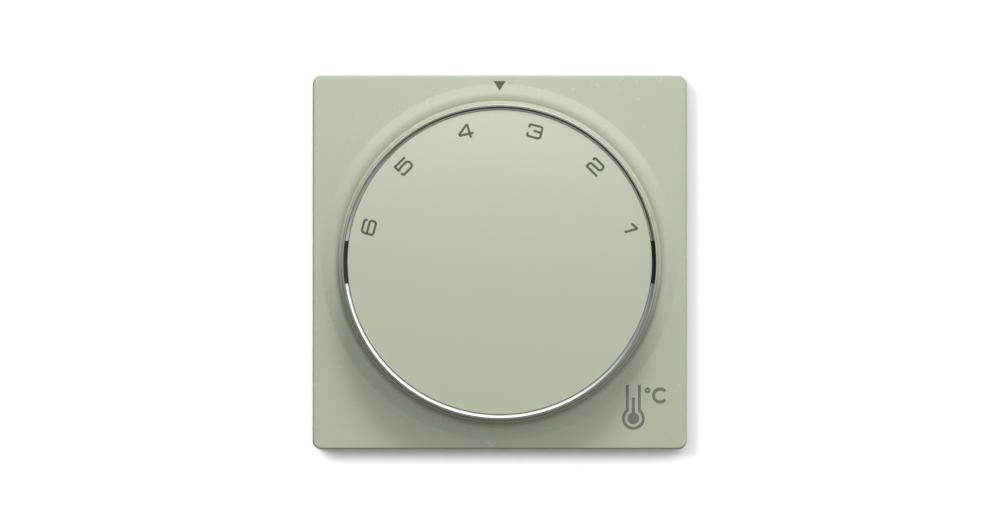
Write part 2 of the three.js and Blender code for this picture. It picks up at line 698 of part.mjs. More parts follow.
function insertBase() {
  const shell = cut(
    insertOutline(0, supportBack, insertBack),
    insertOutline(INSERT_WALL, supportBack - 1, CHAMBER_DEPTH),
  );
  const blockTop = clampZ + CLAMP_HEIGHT / 2 + 3;
  const limit = INSERT_WIDTH / 2 + 1;
  const block = common(
    insertOutline(0, insertBack - 0.2, TERMINAL_DEPTH),
    box(-limit, limit, insertBack - 1, TERMINAL_DEPTH + 1, -INSERT_HEIGHT, blockTop),
  );
  const journal = disc(HUB_RADIUS, leverBack + 3, CHAMBER_DEPTH + 0.2);
  const springPost = disc(2.4, springSeat, CHAMBER_DEPTH + 0.2, 0, springZ);
  const magnetHalf = MAGNET_WIDTH / 2;
  const magnetBack = magnetFront + MAGNET_HEIGHT;
  const magnetPost = box(
    magnetX - magnetHalf, magnetX + magnetHalf, magnetBack, CHAMBER_DEPTH + 0.2,
    stripZ - magnetHalf, stripZ + magnetHalf,
  );
  const earStart = LEVER_HALF_WIDTH + FREE;
  const ears = [-1, 1].map((side) =>
    box(
      Math.min(side * earStart, side * (earStart + 2.8)),
      Math.max(side * earStart, side * (earStart + 2.8)),
      pinY - PIN_RADIUS - 1.2,
      CHAMBER_DEPTH + 0.2,
      pinZ - 2.2,
      pinZ + 2.2,
    ),
  );
  const posts = screwPosts(0, CHAMBER_DEPTH + 0.2);
  const journalBore = disc(SHAFT_RADIUS + RUNNING, 0, CHAMBER_DEPTH - 1);
  const pinHole = rod(PIN_RADIUS + SEAT, -LEVER_HALF_WIDTH - 9, LEVER_HALF_WIDTH + 9, pinY, pinZ);
  const screwHoles = [-1, 1].map((side) =>
    disc(SCREW_RADIUS + SEAT, -1, CHAMBER_DEPTH - 1, side * screwX, side * screwZ),
  );
  const pockets = [];
  for (let i = 0; i < TERMINALS; i += 1) {
    const x = terminalX(i);
    const halfWidth = CLAMP_WIDTH / 2 + FREE;
    const halfHeight = CLAMP_HEIGHT / 2 + FREE;
    const bottom = clampZ - halfHeight;
    const top = clampZ + halfHeight;
    pockets.push(box(x - halfWidth, x + halfWidth, clampFront - 0.3, TERMINAL_DEPTH + 1, bottom, top));
    const entryTop = clampZ - CLAMP_HEIGHT / 2 + 1;
    const entryLength = INSERT_HEIGHT / 2 + 1 + entryTop;
    const entry = new THREE.CylinderGeometry(WIRE_RADIUS, WIRE_RADIUS, entryLength, SMALL_ROUND);
    entry.rotateX(Math.PI / 2);
    pockets.push(entry.translate(x, clampFront + CLAMP_DEPTH / 2, entryTop - entryLength / 2));
  }
  const tabs = [0, 1, TERMINALS - 1].map((i) => {
    const x = terminalX(i);
    const half = BUSBAR_WIDTH / 2 + 0.1;
    const halfTab = BUSBAR_TAB / 2 + 0.1;
    return box(x - half, x + half, CHAMBER_DEPTH - 1, clampFront + 1, clampZ - halfTab, clampZ + halfTab);
  });
  return cut(
    join(shell, block, journal, springPost, magnetPost, ...ears, ...posts),
    journalBore, pinHole, ...screwHoles, ...pockets, ...tabs,
  );
}

function housingScrew(side) {
  return screw(side * screwX, side * screwZ, lidFront + 0.1, 0.9, 13, SCREW_HEAD_RADIUS, SCREW_RADIUS);
}

// ---- Terminals and busbars ----
function terminalClamp(index) {
  const x = terminalX(index);
  const half = CLAMP_WIDTH / 2;
  const halfHeight = CLAMP_HEIGHT / 2;
  const back = clampFront + CLAMP_DEPTH;
  const block = box(x - half, x + half, clampFront, back, clampZ - halfHeight, clampZ + halfHeight);
  const wireHole = new THREE.CylinderGeometry(WIRE_RADIUS, WIRE_RADIUS, 7, SMALL_ROUND);
  wireHole.rotateX(Math.PI / 2);
  wireHole.translate(x, clampFront + CLAMP_DEPTH / 2, clampZ - halfHeight + 2.5);
  const thread = disc(SCREW_RADIUS + 0.3 + SEAT, clampFront + 1.4, back + 1, x, clampZ);
  return cut(block, wireHole, thread);
}

function terminalScrew(index) {
  const head = clampFront + CLAMP_DEPTH + 1.6;
  return screw(terminalX(index), clampZ, head, 1.5, 3.4, 2.6, SCREW_RADIUS + 0.3, -1);
}

// A strip on the chamber floor through the given (x, z) corners.
// Its tab goes through the floor to the terminal.
function busbar(index, ...corners) {
  const half = BUSBAR_WIDTH / 2;
  const halfTab = BUSBAR_TAB / 2;
  const x = terminalX(index);
  const tab = box(x - half, x + half, busbarFront, clampFront - 0.1, clampZ - halfTab, clampZ + halfTab);
  const pieces = [tab];
  let from = [x, clampZ];
  for (const to of corners) {
    pieces.push(
      box(
        Math.min(from[0], to[0]) - half,
        Math.max(from[0], to[0]) + half,
        busbarFront,
        CHAMBER_DEPTH - 0.02,
        Math.min(from[1], to[1]) - half,
        Math.max(from[1], to[1]) + half,
      ),
    );
    from = to;
  }
  return join(...pieces);
}

// ---- Finishes ----
function finish(color, roughness, metalness = 0) {
  return new THREE.MeshStandardMaterial({ color, roughness, metalness });
}

const sage = finish(0xb4bda9, 0.5);
const chrome = finish(0xd8dadc, 0.12, 1);
const black = finish(0x1b1c1d, 0.4);
const blue = finish(0x3767a6, 0.5);
const red = finish(0xb23a33, 0.5);
const zincPlated = finish(0xb9bcc0, 0.35, 1);
const lightGrey = finish(0xd2d3d0, 0.55);
const darkGrey = finish(0x4a4d50, 0.55);
const acetal = finish(0xefeee8, 0.45);
const brass = finish(0xc9a55a, 0.3, 1);
const copper = finish(0xb87348, 0.35, 1);
const silver = finish(0xdcdcd8, 0.25, 1);
const bimetal = finish(0xa59c8c, 0.35, 1);
const ferrite = finish(0x2c2d30, 0.6);
const ceramic = finish(0x9c6b4a, 0.6);

// ---- Assembly ----
const thermostat = new THREE.Group();

function add(name, geometry, material, parent = thermostat) {
  const mesh = new THREE.Mesh(geometry, material);
  mesh.name = name;
  parent.add(mesh);
}

add("cover_plate", coverPlate(), sage);
add("cover_screw", coverScrew(), zincPlated);
add("range_ring_min", rangeRing(minRingInner, minRingOuter, 180 - stopAngle), blue);
add("range_ring_max", rangeRing(maxRingInner, maxRingOuter, 180 + stopAngle), red);

const dial = new THREE.Group();
thermostat.add(dial);
add("dial_body", dialBody(), sage, dial);
add("dial_face", dialFace(), sage, dial);
add("trim_carrier", trimCarrier(), black, dial);
add("trim_arc_upper", trimArc(0), chrome, dial);
add("trim_arc_lower", trimArc(180), chrome, dial);
add("hub_clip", hubClip(), zincPlated, dial);
add("setting_shaft", settingShaft(), zincPlated, dial);
add("shaft_circlip", shaftCirclip(), zincPlated, dial);
add("set_cam", setCam(), acetal, dial);

const insert = new THREE.Group();
thermostat.add(insert);
add("support_plate", supportPlate(), zincPlated, insert);
add("insert_lid", insertLid(), lightGrey, insert);
add("insert_base", insertBase(), darkGrey, insert);
add("housing_screw_1", housingScrew(-1), zincPlated, insert);
add("housing_screw_2", housingScrew(1), zincPlated, insert);

const switchGroup = new THREE.Group();
insert.add(switchGroup);
add("set_lever", setLever(), zincPlated, switchGroup);
add("lever_pin", leverPin(), zincPlated, switchGroup);
add("lever_spring", leverSpring(), zincPlated, switchGroup);
add("lever_contact", leverContact(), silver, switchGroup);
add("lever_braid", leverBraid(), copper, switchGroup);
add("calibration_screw", calibrationScrew(), brass, switchGroup);
add("bimetal_strip", bimetalStrip(), bimetal, switchGroup);
add("bimetal_contact", bimetalContact(), silver, switchGroup);
add("bimetal_post", bimetalPost(), brass, switchGroup);
add("strip_screw", stripScrew(), zincPlated, switchGroup);
add("magnet", magnetBlock(), ferrite, switchGroup);
add("accelerator_resistor", acceleratorResistor(), ceramic, switchGroup);

const liveEnd = postX + (POST_SIZE + BUSBAR_WIDTH) / 2 + SEAT;
const neutralX = RESISTOR_X + RESISTOR_LENGTH / 2 + 1;
add("busbar_live", busbar(0, [terminalX(0), stripZ], [liveEnd, stripZ]), brass, switchGroup);
add("busbar_neutral", busbar(1, [neutralX, clampZ], [neutralX, resistorZ]), brass, switchGroup);
const loadTurn = [terminalX(TERMINALS - 1), BRAID_END_Z];
add("busbar_load", busbar(TERMINALS - 1, loadTurn, [BRAID_END_X, BRAID_END_Z]), brass, switchGroup);

for (let i = 0; i < TERMINALS; i += 1) {
  add("terminal_clamp_" + (i + 1), terminalClamp(i), brass, insert);
  add("terminal_screw_" + (i + 1), terminalScrew(i), zincPlated, insert);
}

export default thermostat;
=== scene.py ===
"""Looks of the flush-mounted room thermostat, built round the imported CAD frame.

Lengths inside the shape helpers are millimetres in the part's frame (+Z up, front faces -Y).
They are turned into metres as each mesh is made.
"""

import json
import math

import bmesh
import bpy
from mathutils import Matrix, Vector


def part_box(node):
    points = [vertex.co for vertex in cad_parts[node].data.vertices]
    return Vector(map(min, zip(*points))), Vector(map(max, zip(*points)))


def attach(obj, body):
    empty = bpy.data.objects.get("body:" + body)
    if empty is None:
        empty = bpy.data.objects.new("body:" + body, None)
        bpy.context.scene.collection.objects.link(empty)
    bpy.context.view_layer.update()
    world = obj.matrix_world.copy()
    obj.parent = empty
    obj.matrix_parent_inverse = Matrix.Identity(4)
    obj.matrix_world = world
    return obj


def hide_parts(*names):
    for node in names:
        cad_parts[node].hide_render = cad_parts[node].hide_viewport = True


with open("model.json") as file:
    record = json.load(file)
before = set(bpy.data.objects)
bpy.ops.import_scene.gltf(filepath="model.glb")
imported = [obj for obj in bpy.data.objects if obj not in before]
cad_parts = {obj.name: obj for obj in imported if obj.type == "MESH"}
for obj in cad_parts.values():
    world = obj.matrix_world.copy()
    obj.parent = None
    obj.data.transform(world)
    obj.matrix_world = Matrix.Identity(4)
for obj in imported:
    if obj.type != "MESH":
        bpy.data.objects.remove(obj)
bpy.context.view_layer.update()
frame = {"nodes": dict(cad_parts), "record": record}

MM = 0.001
ROUND = 360  # steps round the large turned pieces


# ---- Places read from the frame ----
def node_mm(name):
    """Lowest and highest corner of a CAD node, in millimetres."""
    low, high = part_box(name)
    return low / MM, high / MM


plate_low, plate_high = node_mm("cover_plate")
dial_low, dial_high = node_mm("dial_body")
face_low, face_high = node_mm("dial_face")
arc_high = node_mm("trim_arc_upper")[1]

PLATE_HALF = plate_high.x
PLATE_FRONT = -9.0
PLATE_WALL = 1.8
PLATE_CORNER = 1.6
PLATE_EDGE = 0.38
RIM_BACK = plate_high.y
COLLAR_FRONT = plate_low.y
COLLAR_BORE = 8.0
COLLAR_OUTER = 10.0
BOSS_RISE = 0.15
BOSS_FRONT = PLATE_FRONT - BOSS_RISE
BOSS_FOOT_RADIUS = 33.3
BOSS_CREST_RADIUS = 31.4
BOSS_INNER_RADIUS = 30.3
BOSS_DISH = 0.11  # the boss falls by this much from its crest in to the dial

SCREW_HEAD_FREE = 0.12
SCREW_SEAT_DEPTH = 1.3
SCREW_HOLE_RADIUS = 1.5
VENT_SLOTS = 5
VENT_PITCH = 10.0
VENT_HALF_WIDTH = 3.0
VENT_HEIGHT = 1.6
VENT_REACH = 3.0  # how far a vent's cutter reaches to both sides of the plate's edge

DIAL_RADIUS = dial_high.x
DIAL_GAP = 0.3
DIAL_BACK = BOSS_FRONT - DIAL_GAP
DIAL_WALL = 1.7
LIP_HEIGHT = 1.0
HUB_RADIUS = 5.0
HUB_BORE = 3.05
LUG_INNER = 10.9
LUG_OUTER = 17.2
LUG_ANGLE = 4  # half of the stop lug, in degrees
LUG_REACH = 1.55  # the lug ends this far in front of the boss
RIM_FRONT = dial_low.y
WALL_RADIUS = DIAL_RADIUS - 0.5
TRIM_OUTER = arc_high.z - 0.13
TRIM_INNER = TRIM_OUTER - 0.64
RIM_ROUND = 0.7
RIM_CREST = 35  # degrees off the dial's axis at which the rim's rounding starts
RIM_END = 84
FACE_RADIUS = face_high.x + 0.07
FACE_EDGE = RIM_FRONT + 0.7
FACE_CROWN = FACE_EDGE - face_low.y
WEB_FRONT = face_high.y
WEB_BACK = WEB_FRONT + 1.5
TRIM_GAP = 8.0

DIGIT_RADIUS = 25.25
DIGIT_STEP = 30.0
PRINT_HEIGHT = 0.02


# ---- Outlines ----
def filleted(points, closed=True, steps=6):
    """Rounds the corners of an outline. Each point is (a, b, radius)."""
    out = []
    count = len(points)
    for i, (a, b, radius) in enumerate(points):
        here = Vector((a, b))
        at_end = not closed and i in (0, count - 1)
        if radius <= 0 or at_end:
            out.append((a, b))
            continue
        before = Vector(points[i - 1][:2]) - here
        after = Vector(points[(i + 1) % count][:2]) - here
        half = before.angle(after) / 2
        reach = min(radius / math.tan(half), 0.49 * before.length, 0.49 * after.length)
        start = here + before.normalized() * reach
        end = here + after.normalized() * reach
        middle = here + (before.normalized() + after.normalized()).normalized() * (reach / math.cos(half))
        first = start - middle
        turn = first.angle_signed(end - middle)
        for k in range(steps + 1):
            angle = -turn * k / steps
            x = first.x * math.cos(angle) - first.y * math.sin(angle)
            y = first.x * math.sin(angle) + first.y * math.cos(angle)
            out.append((middle.x + x, middle.y + y))
    return out


def arc_points(centre, radius, start, end, steps):
    """Points of an arc, angles in degrees anticlockwise from +X."""
    out = []
    for k in range(steps + 1):
        angle = math.radians(start + (end - start) * k / steps)
        out.append((centre[0] + radius * math.cos(angle), centre[1] + radius * math.sin(angle)))
    return out


def place(radius, clockwise):
    """(x, z) of a point at a radius and a clockwise angle in degrees from the top, seen from the front."""
    angle = math.radians(clockwise)
    return radius * math.sin(angle), radius * math.cos(angle)


# ---- Meshes ----
def make(name, verts, faces, sharp=35.0):
    """A mesh object from millimetre points, welded, with faces out and smooth up to the sharp angle."""
    mesh = bpy.data.meshes.new(name)
    mesh.from_pydata([[c * MM for c in v] for v in verts], [], faces)
    bm = bmesh.new()
    bm.from_mesh(mesh)
    bmesh.ops.remove_doubles(bm, verts=bm.verts, dist=1e-7)
    bmesh.ops.recalc_face_normals(bm, faces=bm.faces)
    bm.to_mesh(mesh)
    bm.free()
    obj = bpy.data.objects.new(name, mesh)
    bpy.context.scene.collection.objects.link(obj)
    smooth(obj, sharp)
    return obj


def smooth(obj, sharp=35.0):
    """Smooth shading, with edges over the angle kept sharp."""
    obj.data.polygons.foreach_set("use_smooth", [True] * len(obj.data.polygons))
    obj.data.set_sharp_from_angle(angle=math.radians(sharp))


def turned(name, profile, steps=ROUND, centre=(0.0, 0.0), sharp=35.0):
    """A body of revolution about Y from (radius, y) points. A profile off the axis closes on itself."""
    on_axis = profile[0][0] < 1e-6 and profile[-1][0] < 1e-6
    verts = []
    for k in range(steps):
        angle = 2 * math.pi * k / steps
        for r, y in profile:
            verts.append((centre[0] + r * math.sin(angle), y, centre[1] + r * math.cos(angle)))
    count = len(profile)
    faces = []
    for k in range(steps):
        a = k * count
        b = ((k + 1) % steps) * count
        for j in range(count - 1 if on_axis else count):
            m = (j + 1) % count
            face = [a + j, b + j, b + m, a + m]
            if profile[j][0] < 1e-6:
                face = [a + j, b + m, a + m]
            elif profile[m][0] < 1e-6:
                face = [a + j, b + j, a + m]
            faces.append(face)
    return make(name, verts, faces, sharp)


def swept_arc(name, section, start, end, steps, sharp=35.0):
    """A closed (radius, y) section swept about Y between two clockwise angles, with flat ends."""
    verts = []
    for k in range(steps + 1):
        for r, y in section:
            x, z = place(r, start + (end - start) * k / steps)
            verts.append((x, y, z))
    count = len(section)
    faces = [list(range(count)), [steps * count + j for j in range(count)]]
    for k in range(steps):
        for j in range(count):
            m = (j + 1) % count
            a = k * count
            faces.append([a + j, a + count + j, a + count + m, a + m])
    return make(name, verts, faces, sharp)


def block(name, low, high, bevel=0.0):
    """A box, with rounded edges if a bevel is given."""
    x0, y0, z0 = low
    x1, y1, z1 = high
    verts = [(x, y, z) for x in (x0, x1) for y in (y0, y1) for z in (z0, z1)]
    faces = [(0, 1, 3, 2), (4, 6, 7, 5), (0, 4, 5, 1), (2, 3, 7, 6), (0, 2, 6, 4), (1, 5, 7, 3)]
    obj = make(name, verts, faces)
    if bevel:
        soften(obj, bevel)
    return obj


def apply_modifiers(obj):
    """Puts the modifiers' result in place of the object's mesh."""
    graph = bpy.context.evaluated_depsgraph_get()
    graph.update()
    mesh = bpy.data.meshes.new_from_object(obj.evaluated_get(graph))
    old = obj.data
    obj.modifiers.clear()
    obj.data = mesh
    bpy.data.meshes.remove(old)


def soften(obj, width, angle=40.0):
    """Rounds the sharp edges and keeps the flat faces shaded flat."""
    smooth(obj)
    bevel = obj.modifiers.new("soft_edges", "BEVEL")
    bevel.width = width * MM
    bevel.segments = 2
    bevel.limit_method = "ANGLE"
    bevel.angle_limit = math.radians(angle)
    bevel.harden_normals = True
    apply_modifiers(obj)


def carve(target, cutters, operation="DIFFERENCE"):
    """Cuts or joins closed meshes into the target and removes them."""
    for cutter in cutters:
        modifier = target.modifiers.new("carve", "BOOLEAN")
        modifier.operation = operation
        modifier.solver = "EXACT"
        modifier.object = cutter
    apply_modifiers(target)
    for cutter in cutters:
        bpy.data.objects.remove(cutter)
    smooth(target)


def rod(name, radius, y_front, y_back, x, z):
    """A cylinder along Y."""
    profile = [(0, y_front), (radius, y_front), (radius, y_back), (0, y_back)]
    return turned(name, profile, 48, (x, z))


# ---- Materials ----
def material(name, color, roughness, metallic=0.0):
    mat = bpy.data.materials.new(name)
    mat.use_nodes = True
    shader = mat.node_tree.nodes["Principled BSDF"]
    shader.inputs["Base Color"].default_value = (*color, 1.0)
    shader.inputs["Roughness"].default_value = roughness
    shader.inputs["Metallic"].default_value = metallic
    return mat, mat.node_tree, shader


def noise(tree, scale, detail=4.0, roughness=0.55, stretch=None):
    """A noise texture in object space; scale is in features per metre."""
    coords = tree.nodes.new("ShaderNodeTexCoord")
    source = coords.outputs["Object"]
    if stretch:
        mapping = tree.nodes.new("ShaderNodeMapping")
        mapping.inputs["Scale"].default_value = stretch
        tree.links.new(source, mapping.inputs["Vector"])
        source = mapping.outputs["Vector"]
    texture = tree.nodes.new("ShaderNodeTexNoise")
    texture.inputs["Scale"].default_value = scale
    texture.inputs["Detail"].default_value = detail
    texture.inputs["Roughness"].default_value = roughness
    tree.links.new(source, texture.inputs["Vector"])
    return texture.outputs["Fac"]


def ramp(tree, source, stops):
    node = tree.nodes.new("ShaderNodeValToRGB")
    elements = node.color_ramp.elements
    while len(elements) < len(stops):
        elements.new(0.5)
    for element, (position, color) in zip(elements, stops):
        element.position = position
        element.color = (*color, 1.0) if len(color) == 3 else (color[0], color[0], color[0], 1.0)
    tree.links.new(source, node.inputs["Fac"])
    return node.outputs["Color"]


def shade(color, factor):
    return tuple(min(1.0, c * factor) for c in color)


def bump(tree, shader, height, strength, distance):
    node = tree.nodes.new("ShaderNodeBump")
    node.inputs["Strength"].default_value = strength
    node.inputs["Distance"].default_value = distance
    tree.links.new(height, node.inputs["Height"])
    tree.links.new(node.outputs["Normal"], shader.inputs["Normal"])


def moulded(name, color, roughness, grain=9000.0, depth=0.000004, mottle=0.03, sheen=0.03):
    """Moulded plastic: a fine sparked grain, a slow drift in colour and a slightly uneven sheen."""
    mat, tree, shader = material(name, color, roughness)
    slow = noise(tree, 60.0, 3.0)
    stops = [(0.3, shade(color, 1 - mottle)), (0.7, shade(color, 1 + mottle))]
    tree.links.new(ramp(tree, slow, stops), shader.inputs["Base Color"])
    patchy = noise(tree, 400.0, 5.0)
    stops = [(0.3, (roughness - sheen,)), (0.7, (roughness + sheen,))]
    tree.links.new(ramp(tree, patchy, stops), shader.inputs["Roughness"])
    bump(tree, shader, noise(tree, grain, 2.0), 0.35, depth)
    return mat


def metal(name, color, roughness, brushed=None, spread=0.06, mottle=0.06, depth=0.000003):
    """Metal with a worked surface: brushed or rolled streaks in colour, sheen and relief."""
    mat, tree, shader = material(name, color, roughness, 1.0)
    streaks = noise(tree, 3000.0, 4.0, 0.6, brushed or (1.0, 1.0, 1.0))
    stops = [(0.3, shade(color, 1 - mottle)), (0.7, shade(color, 1 + mottle))]
    tree.links.new(ramp(tree, streaks, stops), shader.inputs["Base Color"])
    tree.links.new(
        ramp(tree, streaks, [(0.3, (max(0.02, roughness - spread),)), (0.7, (roughness + spread,))]),
        shader.inputs["Roughness"],
    )
    bump(tree, shader, streaks, 0.3, depth)
    return mat


SAGE = (0.272, 0.3, 0.226)
# Painted shade: the plate is the dial's sage plastic darkened overall to 0.94, standing in for the dimmer
# light on the plate.
mat_plate_painted_shade = moulded("sage_plate_painted_shade", shade(SAGE, 0.94), 0.27, depth=0.0000008, mottle=0.006, sheen=0.005)
mat_dial = moulded("sage_dial", SAGE, 0.25, depth=0.0000015, mottle=0.006, sheen=0.005)
mat_print = moulded("mark_ink", (0.055, 0.058, 0.038), 0.5, mottle=0.05)
mat_icon = moulded("mark_ink_soft", (0.1, 0.102, 0.083), 0.5, mottle=0.05)
mat_chrome = metal("chrome", (0.86, 0.87, 0.88), 0.07, spread=0.02, mottle=0.01, depth=0.0000005)
mat_black = moulded("black_gloss", (0.006, 0.006, 0.007), 0.22, depth=0.000001)
mat_blue = moulded("blue_ring", (0.05, 0.14, 0.38), 0.45)
mat_red = moulded("red_ring", (0.45, 0.05, 0.04), 0.45)
mat_light = moulded("light_grey", (0.6, 0.61, 0.58), 0.5, grain=5000.0, depth=0.00001)
mat_dark = moulded("dark_grey", (0.075, 0.08, 0.085), 0.48, grain=4000.0, depth=0.000015, mottle=0.08)
mat_acetal = moulded("acetal", (0.82, 0.81, 0.76), 0.35)
mat_zinc = metal("zinc_plate", (0.62, 0.63, 0.66), 0.3, (1.0, 1.0, 0.15), mottle=0.1)
mat_screw = metal("zinc_screw", (0.66, 0.66, 0.67), 0.28)
mat_brass = metal("brass", (0.66, 0.47, 0.18), 0.28, (0.2, 1.0, 1.0))
mat_copper = metal("copper", (0.62, 0.29, 0.14), 0.35, (1.0, 6.0, 1.0), mottle=0.25)
mat_silver = metal("silver", (0.82, 0.82, 0.79), 0.22)
mat_bimetal = metal("bimetal", (0.42, 0.38, 0.32), 0.34, (0.1, 1.0, 1.0), mottle=0.12)
mat_ferrite = moulded("ferrite", (0.03, 0.03, 0.032), 0.55, grain=3000.0, depth=0.00002, mottle=0.2)
mat_ceramic = moulded("resistor", (0.33, 0.16, 0.08), 0.35, mottle=0.1)

SLOT_MATERIALS = {
    "zinc_plated": mat_zinc,
    "light_grey_plastic": mat_light,
    "dark_grey_plastic": mat_dark,
    "acetal": mat_acetal,
    "brass": mat_brass,
    "copper": mat_copper,
    "silver_contact": mat_silver,
    "bimetal": mat_bimetal,
    "ferrite": mat_ferrite,
    "ceramic": mat_ceramic,
    "blue_plastic": mat_blue,
    "red_plastic": mat_red,
}


def finish(obj, mat, body, slot, *nodes):
    """Gives a new piece its material and its body, and hides the CAD nodes that it stands for.
    The slot argument is not used.
    """
    obj.data.materials.clear()
    obj.data.materials.append(mat)
    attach(obj, body)
    if nodes:
        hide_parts(*nodes)


# ---- Cover plate ----
def square_outline(inset, angle):
    """Point of the plate's outline, inset by a distance, in the direction of an angle from +X."""
    half = PLATE_HALF - inset
    corner = max(PLATE_CORNER - inset, 0.02)
    dx, dz = math.cos(angle), math.sin(angle)
    reach = half / max(abs(dx), abs(dz))
    x, z = abs(dx) * reach, abs(dz) * reach
    centre = half - corner
    if x > centre and z > centre:
        # The ray meets the corner's arc: solve for its distance.
        ux, uz = abs(dx), abs(dz)
        b = centre * (ux + uz)
        c = 2 * centre * centre - corner * corner
        reach = b + math.sqrt(max(b * b - c, 0.0))
        x, z = ux * reach, uz * reach
    return math.copysign(x, dx), math.copysign(z, dz)


def outline_angles():
    """Directions round the plate: even steps, with more of them at the corners."""
    angles = [2 * math.pi * k / ROUND for k in range(ROUND)]
    diagonal = math.pi / 4
    spread = math.radians(1.6)
    for quarter in range(4):
        for k in range(-8, 9):
            angles.append((diagonal + quarter * math.pi / 2 + spread * k / 8) % (2 * math.pi))
    out = []
    for angle in sorted(angles):
        if not out or angle - out[-1] > 1e-4:
            out.append(angle)
    return out


def plate_height(radius):
    """Y of the plate's front at a distance from the dial's axis: a softly domed boss, then the flat."""
    if radius <= BOSS_CREST_RADIUS:
        share = min(1.0, (BOSS_CREST_RADIUS - radius) / (BOSS_CREST_RADIUS - BOSS_INNER_RADIUS))
        return BOSS_FRONT + BOSS_DISH * share * share
    share = min(1.0, (radius - BOSS_CREST_RADIUS) / (BOSS_FOOT_RADIUS - BOSS_CREST_RADIUS))
    domed = 1 - share * share
    soft = 1 - share * share * (3 - 2 * share)
    return PLATE_FRONT + (BOSS_FRONT - PLATE_FRONT) * (0.55 * domed + 0.45 * soft)


def cover_plate():
    """The plate, as rings from the collar's bore over the boss and the rim to the back, and its openings."""
    angles = outline_angles()
    rings = []

    def circle(radius, y):
        rings.append([(radius * math.cos(a), y, radius * math.sin(a)) for a in angles])

    def square(inset, y):
        rings.append([(x, y, z) for x, z in (square_outline(inset, a) for a in angles)])

    back = PLATE_FRONT + PLATE_WALL
    floor = plate_height(BOSS_INNER_RADIUS)
    collar = [
        (COLLAR_BORE, back, 0.1),
        (COLLAR_BORE, COLLAR_FRONT, 0.25),
        (COLLAR_OUTER, COLLAR_FRONT, 0.25),
        (COLLAR_OUTER, floor, 0.0),
    ]
    for radius, y in filleted(collar, closed=False, steps=3):
        circle(radius, y)
    circle(COLLAR_OUTER + 0.4, floor)
    slope_steps = 24
    for k in range(slope_steps + 1):
        radius = BOSS_INNER_RADIUS + (BOSS_FOOT_RADIUS - BOSS_INNER_RADIUS) * k / slope_steps
        circle(radius, plate_height(radius))
    circle(BOSS_FOOT_RADIUS + 0.15, PLATE_FRONT)
    square(PLATE_EDGE + 0.12, PLATE_FRONT)
    edge_steps = 5
    for k in range(edge_steps + 1):
        angle = math.pi / 2 * k / edge_steps
        square(PLATE_EDGE * (1 - math.sin(angle)), PLATE_FRONT + PLATE_EDGE * (1 - math.cos(angle)))
    square(0.0, PLATE_FRONT + PLATE_EDGE + 0.15)
    square(0.0, RIM_BACK - 0.2)
    square(0.06, RIM_BACK - 0.05)
    square(0.2, RIM_BACK)
    square(PLATE_WALL, RIM_BACK)
    square(PLATE_WALL, back)
    verts = [v for ring in rings for v in ring]
    count = len(angles)
    faces = []
    for i in range(len(rings)):
        j = (i + 1) % len(rings)
        for k in range(count):
            m = (k + 1) % count
            faces.append([i * count + k, i * count + m, j * count + m, j * count + k])
    plate = make("cover_plate_shell", verts, faces)
    screw_low, screw_high = node_mm("cover_screw")
    screw_z = (screw_low.z + screw_high.z) / 2
    head = (screw_high.z - screw_low.z) / 2
    seat_back = BOSS_FRONT + SCREW_SEAT_DEPTH
    cutters = [
        rod("seat", head + SCREW_HEAD_FREE, BOSS_FRONT - 1, seat_back, 0, screw_z),
        rod("hole", SCREW_HOLE_RADIUS, BOSS_FRONT - 1, back + 1, 0, screw_z),
    ]
    for k in range(VENT_SLOTS):
        x = (k - (VENT_SLOTS - 1) / 2) * VENT_PITCH
        for side in (-1, 1):
            z = side * PLATE_HALF
            low = (x - VENT_HALF_WIDTH, RIM_BACK - VENT_HEIGHT, z - VENT_REACH)
            high = (x + VENT_HALF_WIDTH, RIM_BACK + 1.0, z + VENT_REACH)
            cutters.append(block("vent", low, high, 0.3))
    carve(plate, cutters)
    finish(plate, mat_plate_painted_shade, "frame", "sage_plastic", "cover_plate")


# ---- Dial ----
def dial_body():
    """The dial's cup: rim, drafted wall, lip, web, split hub and the lug that meets the range rings."""
    seat = TRIM_OUTER + 0.08
    inner = WALL_RADIUS - DIAL_WALL
    recess = TRIM_OUTER - 0.3
    hub_back = dial_high.y
    crest = arc_points((0.0, 0.0), RIM_ROUND, 90 - RIM_CREST, 90 - RIM_END, 7)
    rim_round = [
        (seat + 0.02 + across - crest[0][0], RIM_FRONT + crest[0][1] - forward, 0)
        for across, forward in crest
    ]
    profile = filleted([
        (0.0, WEB_FRONT, 0),
        (recess, WEB_FRONT, 0),
        (recess, FACE_EDGE + 0.25, 0),
        (seat, RIM_FRONT + 0.55, 0),
        (seat, RIM_FRONT + 0.04, 0),
        *rim_round,
        (WALL_RADIUS, DIAL_BACK - LIP_HEIGHT, 0.08),
        (DIAL_RADIUS, DIAL_BACK - LIP_HEIGHT, 0.3),
        (DIAL_RADIUS, DIAL_BACK, 0.1),
        (inner, DIAL_BACK, 0.2),
        (inner, WEB_BACK, 0.4),
        (HUB_RADIUS, WEB_BACK, 0.4),
        (HUB_RADIUS, hub_back, 0.2),
        (HUB_BORE, hub_back, 0.1),
        (HUB_BORE, WEB_BACK, 0),
        (0.0, WEB_BACK, 0),
    ], closed=False, steps=5)
    body = turned("dial_cup", profile)
    lug_front = WEB_BACK - 0.1
    lug_back = BOSS_FRONT - LUG_REACH
    lug_section = [
        (LUG_INNER, lug_front),
        (LUG_OUTER, lug_front),
        (LUG_OUTER, lug_back),
        (LUG_INNER, lug_back),
    ]
    lug = swept_arc("lug", lug_section, 180 - LUG_ANGLE, 180 + LUG_ANGLE, 8)
    saw = block("saw", (-0.5, WEB_BACK + 1, -7), (0.5, hub_back + 1, 0))
    carve(body, [lug], "UNION")
    carve(body, [saw])
    finish(body, mat_dial, "dial", "sage_plastic", "dial_body")


def face_height(radius):
    share = min(radius / FACE_RADIUS, 1.0)
    return FACE_EDGE - FACE_CROWN * (1 - share * share)


